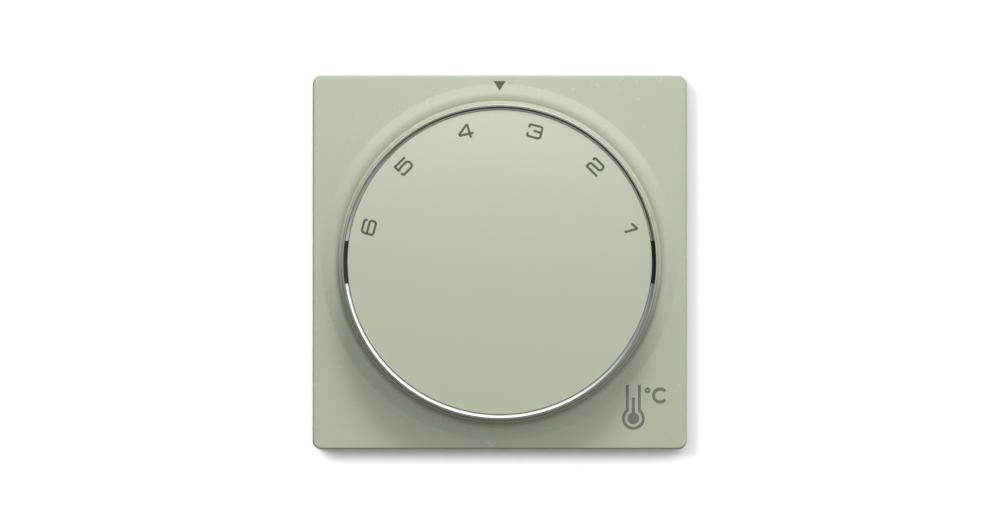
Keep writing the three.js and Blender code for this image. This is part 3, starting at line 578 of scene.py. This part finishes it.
def dial_face():
    """The domed cap; a row of points close to its edge keeps the dome's shading clean there."""
    steps = 16
    reach = FACE_RADIUS - 0.12
    profile = [(reach * k / steps, face_height(reach * k / steps)) for k in range(steps + 1)]
    profile.insert(-1, (reach - 0.06, face_height(reach - 0.06)))
    profile += [(FACE_RADIUS - 0.04, FACE_EDGE + 0.04), (FACE_RADIUS, FACE_EDGE + 0.14)]
    profile += [(FACE_RADIUS, WEB_FRONT - 0.75), (FACE_RADIUS - 1.3, WEB_FRONT - 0.75)]
    profile += [(FACE_RADIUS - 1.3, WEB_FRONT), (0.0, WEB_FRONT)]
    face = turned("dial_cap", profile)
    finish(face, mat_dial, "dial", "sage_plastic", "dial_face")


def trim():
    """The two chrome arcs and the black ring under them, which fills the gaps between their ends."""
    section = filleted([
        (TRIM_INNER, FACE_EDGE + 0.02, 0.05),
        (TRIM_OUTER - 0.03, RIM_FRONT + 0.08, 0.05),
        (TRIM_OUTER, RIM_FRONT + 0.5, 0.02),
        (TRIM_INNER, FACE_EDGE + 0.45, 0.02),
    ], steps=3)
    half = 90 - TRIM_GAP
    for name, middle in (("upper", 0), ("lower", 180)):
        arc = swept_arc("chrome_arc_" + name, section, middle - half, middle + half, 240)
        finish(arc, mat_chrome, "dial", "chrome_trim", "trim_arc_" + name)
    top = FACE_EDGE + 0.5
    outer = TRIM_OUTER - 0.35
    carrier = turned("black_carrier", [
        (FACE_RADIUS - 1.2, WEB_FRONT - 0.65),
        (TRIM_INNER - 0.05, WEB_FRONT - 0.65),
        (TRIM_INNER - 0.05, top),
        (outer, top - 0.25),
        (outer, WEB_FRONT - 0.05),
        (FACE_RADIUS - 1.2, WEB_FRONT - 0.05),
    ])
    bridge = filleted([
        (TRIM_INNER, FACE_EDGE + 0.03, 0.06),
        (TRIM_OUTER, RIM_FRONT + 0.06, 0.06),
        (TRIM_OUTER, RIM_FRONT + 0.5, 0),
        (outer, top - 0.25, 0),
        (outer - 0.05, top + 0.2, 0),
        (TRIM_INNER, top + 0.2, 0),
    ], steps=3)
    half_gap = TRIM_GAP - 0.12
    bridges = [swept_arc("bridge", bridge, m - half_gap, m + half_gap, 32) for m in (90, 270)]
    carve(carrier, bridges, "UNION")
    finish(carrier, mat_black, "dial", "black_plastic", "trim_carrier")


# ---- Printed marks ----
def ribbon(path, width, close=False):
    """Left and right edges of a stroke along (x, z) points, mitred at its turns."""
    count = len(path)
    left, right = [], []
    for i in range(count):
        here = Vector(path[i])
        before = Vector(path[i - 1]) if (i > 0 or close) else None
        after = Vector(path[(i + 1) % count]) if (i < count - 1 or close) else None
        along_in = (here - before).normalized() if before is not None else None
        along_out = (after - here).normalized() if after is not None else None
        if along_in is None:
            along_in = along_out
        if along_out is None:
            along_out = along_in
        bisector = (along_in + along_out).normalized()
        normal = Vector((-bisector.y, bisector.x))
        stretch = 1 / max(0.5, normal.dot(Vector((-along_in.y, along_in.x))))
        left.append(here + normal * width / 2 * stretch)
        right.append(here - normal * width / 2 * stretch)
    return left, right


def dense(path, step=0.12):
    """The same path with points no further apart than a step."""
    out = [path[0]]
    for a, b in zip(path, path[1:]):
        length = math.dist(a, b)
        parts = max(1, math.ceil(length / step))
        for k in range(1, parts + 1):
            out.append((a[0] + (b[0] - a[0]) * k / parts, a[1] + (b[1] - a[1]) * k / parts))
    return out


def raised(name, faces_2d, height, turn=0.0, centre=(0.0, 0.0), lift=0.0):
    """A thin closed print from polygons of (x, z) points, laid on the surface that height() gives."""
    angle = math.radians(turn)
    verts, faces, edge_use, index = [], [], {}, {}

    def vertex(x, z, front):
        key = (round(x, 5), round(z, 5), front)
        if key not in index:
            gx = centre[0] + x * math.cos(angle) + z * math.sin(angle)
            gz = centre[1] - x * math.sin(angle) + z * math.cos(angle)
            surface = height(math.hypot(gx, gz))
            index[key] = len(verts)
            level = surface - PRINT_HEIGHT - lift if front else surface + PRINT_HEIGHT + lift
            verts.append((gx, level, gz))
        return index[key]

    for polygon in faces_2d:
        front = [vertex(x, z, True) for x, z in polygon]
        back = [vertex(x, z, False) for x, z in polygon]
        faces.append(front)
        faces.append(back[::-1])
        for k in range(len(front)):
            m = (k + 1) % len(front)
            key = tuple(sorted((front[k], front[m])))
            edge_use.setdefault(key, []).append([front[m], front[k], back[k], back[m]])
    for sides in edge_use.values():
        if len(sides) == 1:
            faces.append(sides[0])
    return make(name, verts, faces, 40)


def stroke_faces(path, width, close=False):
    """Quads that cover a stroke of one width along a path."""
    points = dense(path + [path[0]] if close else path)
    if close:
        points = points[:-1]
    left, right = ribbon(points, width, close)
    count = len(points)
    last = count if close else count - 1
    return [[left[k], left[(k + 1) % count], right[(k + 1) % count], right[k]] for k in range(last)]


def disc_faces(centre, radius, steps=40):
    """Triangles that cover a disc."""
    rim = arc_points(centre, radius, 0, 360, steps)[:-1]
    return [[centre, rim[k], rim[(k + 1) % steps]] for k in range(steps)]


DIGIT_HALF_WIDTH = 1.26
DIGIT_HALF_HEIGHT = 1.1
DIGIT_STROKE = 0.43


def glyph(points):
    """A stroke in glyph units (1 is half the digit's width or height), with its corners rounded."""
    scaled = [(x * DIGIT_HALF_WIDTH, z * DIGIT_HALF_HEIGHT, r) for x, z, r in points]
    return filleted(scaled, closed=False, steps=5)


CURL = 0.42  # corner radius of the figures, in mm
GLYPHS = {
    1: [
        [(0.5, -1.2, 0), (0.5, 1.1, 0)],
        [(-0.5, 0.32, 0), (0.5, 1.1, 0)],
    ],
    2: [
        [(-0.95, 0.45, 0), (-0.95, 1, CURL), (1, 1, CURL), (1, 0, CURL),
         (-0.95, -0.12, CURL), (-0.95, -1, 0.1), (1.2, -1, 0)],
    ],
    3: [
        [(-0.95, 0.4, 0), (-0.95, 1, CURL), (1, 1, CURL), (1, -1.02, CURL),
         (-0.95, -1.02, CURL), (-0.95, -0.4, 0)],
        [(-0.2, 0.05, 0), (1, 0.05, 0)],
    ],
    4: [
        [(1.25, -0.6, 0), (-1.1, -0.5, 0.15), (0.62, 1.12, 0)],
        [(0.62, 1.12, 0), (0.68, -1.3, 0)],
    ],
    5: [
        [(1.05, 1, 0), (-1, 1, 0), (-1, -0.05, 0)],
        [(-0.98, 0.02, 0), (-0.5, 0.28, 0.5), (1.05, 0.28, 0.6), (1.05, -1, 0.6),
         (-0.98, -1, CURL), (-0.98, -0.45, 0)],
    ],
    6: [
        [(1, 0.5, 0), (0.9, 1, CURL), (-1, 1, 0.6), (-1, -1, CURL), (1, -1, CURL),
         (1, 0.12, CURL), (-1, 0.06, 0)],
    ],
}


def digits():
    """The figures 1 to 6 on the dial, tops outwards, from 1 at the right to 6 at the left."""
    for number, strokes in GLYPHS.items():
        turn = (3.5 - number) * DIGIT_STEP
        centre = place(DIGIT_RADIUS, turn)
        marks = []
        for k, points in enumerate(strokes):
            lift = k * PRINT_HEIGHT / 4
            faces = stroke_faces(glyph(points), DIGIT_STROKE)
            marks.append(raised("figure_%d" % number, faces, face_height, turn, centre, lift))
        if len(marks) > 1:
            carve(marks[0], marks[1:], "UNION")
        finish(marks[0], mat_print, "dial", "black_plastic")


def pointer():
    """The small triangle above the dial, point down, laid over the boss's slope."""
    top, tip, half = 33.9, 32.08, 1.12
    rows = 10
    faces = []
    for k in range(rows):
        z0 = top - (top - tip) * k / rows
        z1 = top - (top - tip) * (k + 1) / rows
        w0 = half * (1 - k / rows)
        w1 = half * (1 - (k + 1) / rows)
        if w1 > 1e-6:
            faces.append([(-w0, z0), (w0, z0), (w1, z1), (-w1, z1)])
        else:
            faces.append([(-w0, z0), (w0, z0), (0.0, z1)])
    mark = raised("pointer_mark", faces, plate_height)
    finish(mark, mat_print, "frame", "black_plastic")


def pictogram():
    """Thermometer and degree sign at the plate's lower right corner."""
    stem = 25.02
    bulb = (stem, -29.22)
    top = -22.93
    half_bore = 1.135
    line = 0.55
    ring = 1.86
    start = math.degrees(math.asin(half_bore / ring))
    outline = [(stem - half_bore, top)]
    outline += arc_points(bulb, ring, 90 + start, 450 - start, 40)
    outline += [(stem + half_bore, top)]
    pieces = {
        "thermometer_tube": stroke_faces(outline, line),
        "thermometer_column": stroke_faces([(stem, -25.34), (stem, bulb[1] + 1.08)], 0.58),
        "thermometer_bulb": disc_faces(bulb, 1.12),
        "degree_ring": stroke_faces(arc_points((27.66, -24.01), 0.36, 0, 360, 24)[:-1], 0.4, True),
        "degree_letter": stroke_faces(arc_points((30.02, -24.95), 1.21, 38, 322, 32), 0.6),
    }
    for name, faces in pieces.items():
        finish(raised(name, faces, plate_height), mat_icon, "frame", "black_plastic")


# ---- Insert: CAD solids carried over with softened edges ----
SOFT_EDGES = {
    "support_plate": 0.12,
    "insert_lid": 0.2,
    "insert_base": 0.3,
    "range_ring_min": 0.12,
    "range_ring_max": 0.12,
}


def body_of(node):
    for body, members in frame["record"]["behaviour"]["bodies"].items():
        if node in members:
            return body
    raise ValueError(node)


def refine(node, slot):
    """A copy of a CAD solid with its flat faces merged and its edges rounded, in place of the CAD node."""
    source = frame["nodes"][node].data
    bm = bmesh.new()
    bm.from_mesh(source)
    bmesh.ops.remove_doubles(bm, verts=bm.verts, dist=2e-6)
    bmesh.ops.dissolve_limit(bm, angle_limit=math.radians(0.5), verts=bm.verts, edges=bm.edges)
    mesh = bpy.data.meshes.new(node + "_fine")
    bm.to_mesh(mesh)
    bm.free()
    obj = bpy.data.objects.new(node + "_fine", mesh)
    bpy.context.scene.collection.objects.link(obj)
    soften(obj, SOFT_EDGES.get(node, 0.06), 32.0)
    mat = SLOT_MATERIALS[slot]
    if "screw" in node:
        mat = mat_screw
    finish(obj, mat, body_of(node), slot, node)


MODELLED = {"cover_plate", "dial_body", "dial_face", "trim_carrier", "trim_arc_upper", "trim_arc_lower"}


def insert():
    for part in frame["record"]["subparts"]:
        if part["node"] not in MODELLED:
            refine(part["node"], part["material_slot"])


# ---- Stage, light and camera ----
def stage_material(name, color, see_through=False):
    """A dull paint, clear from behind if see_through is set."""
    mat, tree, shader = material(name, color, 0.9)
    shader.inputs["Specular IOR Level"].default_value = 0.0
    if see_through:
        output = tree.nodes["Material Output"]
        geometry = tree.nodes.new("ShaderNodeNewGeometry")
        clear = tree.nodes.new("ShaderNodeBsdfTransparent")
        mix = tree.nodes.new("ShaderNodeMixShader")
        tree.links.new(geometry.outputs["Backfacing"], mix.inputs["Fac"])
        tree.links.new(shader.outputs["BSDF"], mix.inputs[1])
        tree.links.new(clear.outputs["BSDF"], mix.inputs[2])
        tree.links.new(mix.outputs["Shader"], output.inputs["Surface"])
    return mat


def plane(name, corners, mat):
    mesh = bpy.data.meshes.new(name)
    mesh.from_pydata(corners, [], [(0, 1, 2, 3)])
    obj = bpy.data.objects.new(name, mesh)
    bpy.context.scene.collection.objects.link(obj)
    obj.data.materials.append(mat)
    return obj


def area_light(name, location, size, power, size_y=None):
    """A rectangular lamp that points at the part and isn't itself in the picture."""
    data = bpy.data.lights.new(name, "AREA")
    data.shape = "RECTANGLE"
    data.size = size
    data.size_y = size_y or size
    data.energy = power
    obj = bpy.data.objects.new(name, data)
    bpy.context.scene.collection.objects.link(obj)
    obj.visible_camera = False
    obj.location = location
    aim = -Vector(location)
    obj.rotation_euler = aim.to_track_quat("-Z", "Y").to_euler()
    return obj


def only_lights(light, *receivers):
    """Limits a lamp to the given objects."""
    collection = bpy.data.collections.new(light.name + "_receivers")
    for obj in receivers:
        collection.objects.link(obj)
    light.light_linking.receiver_collection = collection


def studio_world():
    """A pale studio that darkens from the upper right down, which the chrome ring mirrors."""
    world = bpy.data.worlds.new("studio")
    bpy.context.scene.world = world
    world.use_nodes = True
    tree = world.node_tree
    coords = tree.nodes.new("ShaderNodeTexCoord")
    upward = tree.nodes.new("ShaderNodeVectorMath")
    upward.operation = "DOT_PRODUCT"
    upward.inputs[1].default_value = (0.45, 0.0, 1.0)
    spread = tree.nodes.new("ShaderNodeMapRange")
    spread.inputs["From Min"].default_value = -1.1
    spread.inputs["From Max"].default_value = 1.1
    tree.links.new(coords.outputs["Generated"], upward.inputs[0])
    tree.links.new(upward.outputs["Value"], spread.inputs["Value"])
    stops = [(0.05, (0.05,)), (0.18, (0.06,)), (0.3, (0.11,)), (0.45, (0.27,)),
             (0.55, (0.32,)), (0.72, (0.76,)), (0.78, (1.1,)), (1.0, (1.35,))]
    sky = ramp(tree, spread.outputs["Result"], stops)
    tree.links.new(sky, tree.nodes["Background"].inputs["Color"])


def stage():
    floor_z = -0.16
    wall_y = 0.0006
    reach = 3.0
    wall_paint = stage_material("wall", (0.93, 0.93, 0.93), see_through=True)
    floor_paint = stage_material("floor", (0.7, 0.7, 0.69))
    wall = plane("wall", [(-reach, wall_y, floor_z), (reach, wall_y, floor_z),
                          (reach, wall_y, 2.0), (-reach, wall_y, 2.0)], wall_paint)
    floor = plane("floor", [(-reach, -reach, floor_z), (reach, -reach, floor_z),
                            (reach, reach, floor_z), (-reach, reach, floor_z)], floor_paint)
    for obj in (wall, floor):
        obj.visible_diffuse = False
        obj.visible_glossy = False
    studio_world()
    parts = [obj for obj in bpy.context.scene.objects if obj.type == "MESH" and obj not in (wall, floor)]
    key = area_light("key", (0.1, -0.7, 1.04), 0.42, 16.5)
    front_fill = area_light("front_fill", (0.0, -1.2, -0.1), 0.5, 9.4)
    softbox = area_light("softbox", (0.0, -0.5, 0.108), 0.3, 0.6, size_y=0.1)
    for lamp in (key, front_fill, softbox):
        only_lights(lamp, *parts, floor)
        lamp.visible_glossy = lamp is softbox
    wall_key = area_light("wall_key", (-0.45, -1.4, 0.3), 0.4, 11.5)
    wall_fill = area_light("wall_fill", (0.0, -1.6, 0.0), 1.2, 27.0)
    for lamp in (wall_key, wall_fill):
        only_lights(lamp, wall)
    area_light("back_fill", (0.5, 0.9, 0.7), 0.8, 9.0)


def camera():
    data = bpy.data.cameras.new("camera")
    obj = bpy.data.objects.new("camera", data)
    bpy.context.scene.collection.objects.link(obj)
    distance = 2.0
    width_at_plate = 0.18716
    data.sensor_fit = "HORIZONTAL"
    data.sensor_width = 36.0
    data.lens = data.sensor_width * (distance + PLATE_FRONT * MM) / width_at_plate
    data.clip_start = 0.1
    data.clip_end = 20.0
    obj.location = (0.00006, -distance, -0.00006)
    obj.rotation_euler = (math.pi / 2, 0, 0)
    bpy.context.scene.camera = obj


bpy.context.scene.view_settings.view_transform = "Standard"
camera()
cover_plate()
dial_body()
dial_face()
trim()
digits()
pointer()
pictogram()
insert()
stage()
